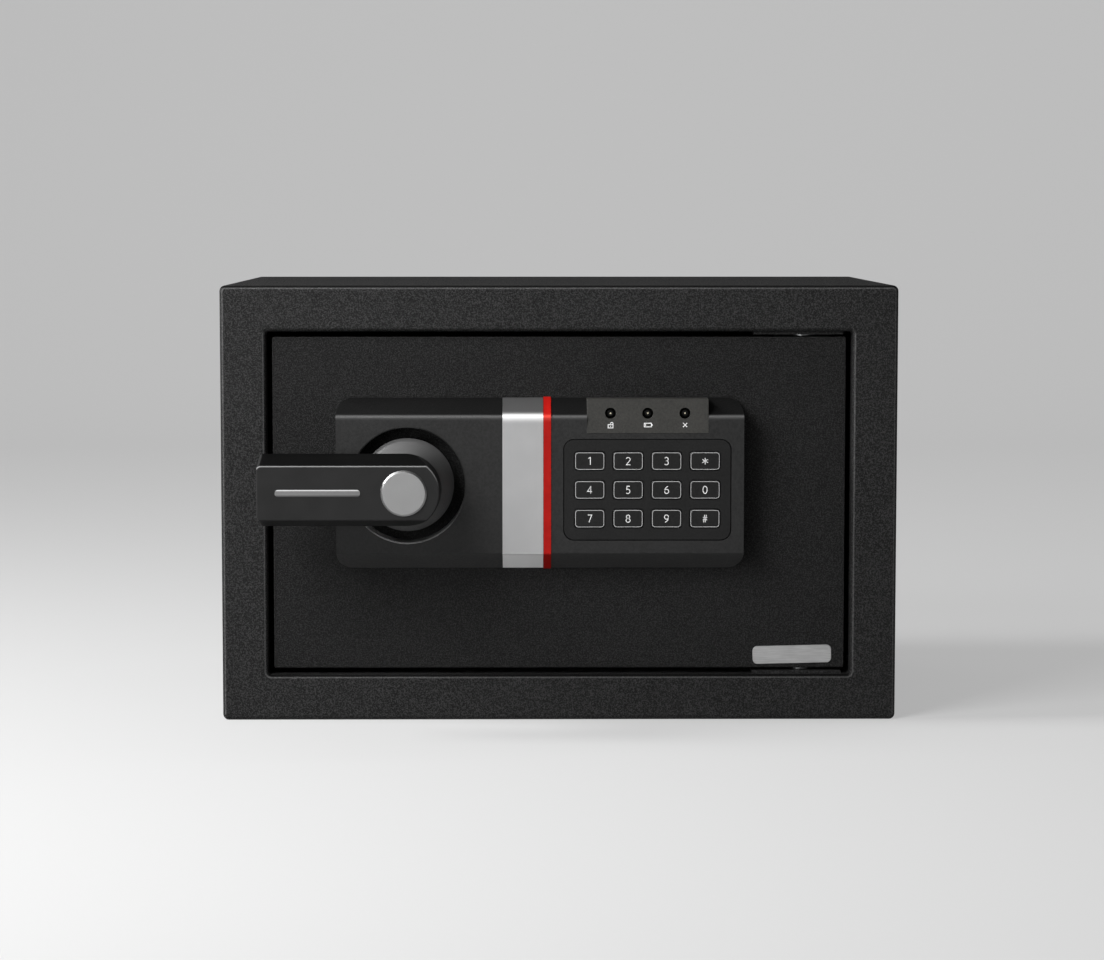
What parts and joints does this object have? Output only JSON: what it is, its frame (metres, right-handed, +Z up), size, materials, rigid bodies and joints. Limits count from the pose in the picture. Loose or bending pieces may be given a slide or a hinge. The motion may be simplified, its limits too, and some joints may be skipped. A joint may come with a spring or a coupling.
{
  "type": "electronic safe",
  "caption": "Small steel safe with a right-hinged door, a lever that throws its lock bolts, a numeric keypad with indicator lamps, and anchor holes in the base and back.",
  "frame": {"origin": "centre of the underside of the steel body, on the surface that the safe stands on", "axes": "+X to the right seen from the front, +Y from the door to the back, +Z up"},
  "size_m": [0.31, 0.2512, 0.2],
  "materials": {
    "body_powder": "black powder coat with a fine texture",
    "door_powder": "black powder coat with a fine grain",
    "cover_paint": "black paint, satin",
    "zinc_steel": "zinc plated",
    "bolt_chrome": "chrome plated",
    "floor_felt": "needle felt",
    "fascia_plastic": "fine moulded texture, satin",
    "silver_trim": "silver paint, satin",
    "red_trim": "moulded red, glossy",
    "hood_plastic": "grey, fine texture",
    "lamp_lens": "smoked lens",
    "keypad_plastic": "fine texture",
    "key_plastic": "matt, with printed signs",
    "board_laminate": "green solder mask",
    "black_plastic": "moulded black",
    "lever_paint": "black paint over a die casting",
    "hub_satin": "satin grey",
    "lever_trim": "brushed",
    "lock_brass": "turned",
    "coil_copper": "enamelled wire",
    "cell_jacket": "printed jacket, left plain",
    "red_button": "glossy red"
  },
  "bodies": {
    "body": {"body_wrap": "body_powder", "front_frame": "body_powder", "back_panel": "body_powder", "floor_mat": "floor_felt", "hinge_plates": "body_powder", "hinge_pins": "zinc_steel"},
    "door": {"door_plate": "door_powder", "inner_cover": "cover_paint", "door_lugs": "zinc_steel", "bolt_guide": "zinc_steel", "carriage_studs": "zinc_steel", "solenoid_frame": "zinc_steel", "plunger_spring": "zinc_steel", "override_lock_nut": "zinc_steel", "cover_posts": "zinc_steel", "fascia_screws": "zinc_steel", "cover_screws": "zinc_steel", "fascia": "fascia_plastic", "red_line": "red_trim", "indicator_hood": "hood_plastic", "indicator_leds": "lamp_lens", "keypad_plate": "keypad_plastic", "circuit_board": "board_laminate", "key_switches": "black_plastic", "reset_switch": "black_plastic", "battery_box": "black_plastic", "override_lock_body": "lock_brass", "spindle_bush": "lock_brass", "solenoid_coil": "coil_copper", "batteries": "cell_jacket"},
    "lever": {"lever": "lever_paint", "lever_strip": "lever_trim", "lever_cap": "lever_trim", "lever_hub": "hub_satin", "lever_screw": "zinc_steel", "spindle": "zinc_steel", "spindle_clip": "zinc_steel", "crank": "zinc_steel", "crank_pin": "zinc_steel"},
    "bolts": {"bolt_carriage": "zinc_steel", "lock_bolts": "bolt_chrome"},
    "plunger": {"solenoid_plunger": "zinc_steel"},
    "override_lock": {"override_plug": "lock_brass", "override_tongue": "zinc_steel"},
    "key_cover": {"key_cover": "silver_trim"},
    "battery_cover": {"battery_cover": "black_plastic"},
    "reset_button": {"reset_button": "red_button"},
    "key_1": {"key_1": "key_plastic"},
    "key_2": {"key_2": "key_plastic"},
    "key_3": {"key_3": "key_plastic"},
    "key_star": {"key_star": "key_plastic"},
    "key_4": {"key_4": "key_plastic"},
    "key_5": {"key_5": "key_plastic"},
    "key_6": {"key_6": "key_plastic"},
    "key_0": {"key_0": "key_plastic"},
    "key_7": {"key_7": "key_plastic"},
    "key_8": {"key_8": "key_plastic"},
    "key_9": {"key_9": "key_plastic"},
    "key_hash": {"key_hash": "key_plastic"}
  },
  "joints": [
    {"name": "door_swing", "type": "hinge", "parent": "body", "child": "door", "pos_m": [0.112, -0.087, 0.1], "axis": [0, 0, 1], "range_deg": [0, 100]},
    {"name": "lever_turn", "type": "hinge", "parent": "door", "child": "lever", "pos_m": [-0.06928, -0.095, 0.1094], "axis": [0, -1, 0], "range_deg": [0, 90]},
    {"name": "bolt_slide", "type": "slide", "parent": "door", "child": "bolts", "axis": [-1, 0, 0], "range_m": [0, 0.01415]},
    {"name": "plunger_slide", "type": "slide", "parent": "door", "child": "plunger", "axis": [0, 0, 1], "range_m": [0, 0.00801], "deforming": ["plunger_spring"]},
    {"name": "override_turn", "type": "hinge", "parent": "door", "child": "override_lock", "pos_m": [-0.01666, -0.095, 0.1094], "axis": [0, -1, 0], "range_deg": [0, 90]},
    {"name": "key_cover_lift", "type": "slide", "parent": "door", "child": "key_cover", "axis": [0, -1, 0], "range_m": [0, 0.03]},
    {"name": "battery_cover_lift", "type": "slide", "parent": "door", "child": "battery_cover", "axis": [0, 1, 0], "range_m": [0, 0.03]},
    {"name": "reset_press", "type": "slide", "parent": "door", "child": "reset_button", "axis": [0, -1, 0], "range_m": [0, 0.0015], "stiffness_N_per_m": 500},
    {"name": "key_1_press", "type": "slide", "parent": "door", "child": "key_1", "axis": [0, 1, 0], "range_m": [0, 0.0006], "stiffness_N_per_m": 1000},
    {"name": "key_2_press", "type": "slide", "parent": "door", "child": "key_2", "axis": [0, 1, 0], "range_m": [0, 0.0006], "stiffness_N_per_m": 1000},
    {"name": "key_3_press", "type": "slide", "parent": "door", "child": "key_3", "axis": [0, 1, 0], "range_m": [0, 0.0006], "stiffness_N_per_m": 1000},
    {"name": "key_star_press", "type": "slide", "parent": "door", "child": "key_star", "axis": [0, 1, 0], "range_m": [0, 0.0006], "stiffness_N_per_m": 1000},
    {"name": "key_4_press", "type": "slide", "parent": "door", "child": "key_4", "axis": [0, 1, 0], "range_m": [0, 0.0006], "stiffness_N_per_m": 1000},
    {"name": "key_5_press", "type": "slide", "parent": "door", "child": "key_5", "axis": [0, 1, 0], "range_m": [0, 0.0006], "stiffness_N_per_m": 1000},
    {"name": "key_6_press", "type": "slide", "parent": "door", "child": "key_6", "axis": [0, 1, 0], "range_m": [0, 0.0006], "stiffness_N_per_m": 1000},
    {"name": "key_0_press", "type": "slide", "parent": "door", "child": "key_0", "axis": [0, 1, 0], "range_m": [0, 0.0006], "stiffness_N_per_m": 1000},
    {"name": "key_7_press", "type": "slide", "parent": "door", "child": "key_7", "axis": [0, 1, 0], "range_m": [0, 0.0006], "stiffness_N_per_m": 1000},
    {"name": "key_8_press", "type": "slide", "parent": "door", "child": "key_8", "axis": [0, 1, 0], "range_m": [0, 0.0006], "stiffness_N_per_m": 1000},
    {"name": "key_9_press", "type": "slide", "parent": "door", "child": "key_9", "axis": [0, 1, 0], "range_m": [0, 0.0006], "stiffness_N_per_m": 1000},
    {"name": "key_hash_press", "type": "slide", "parent": "door", "child": "key_hash", "axis": [0, 1, 0], "range_m": [0, 0.0006], "stiffness_N_per_m": 1000}
  ],
  "couplings": [
    {"joint": "bolt_slide", "follows": "lever_turn", "m_per_rad": 0.0090032},
    {"joint": "plunger_slide", "follows": "lever_turn", "m_per_rad": 0.005093}
  ]
}
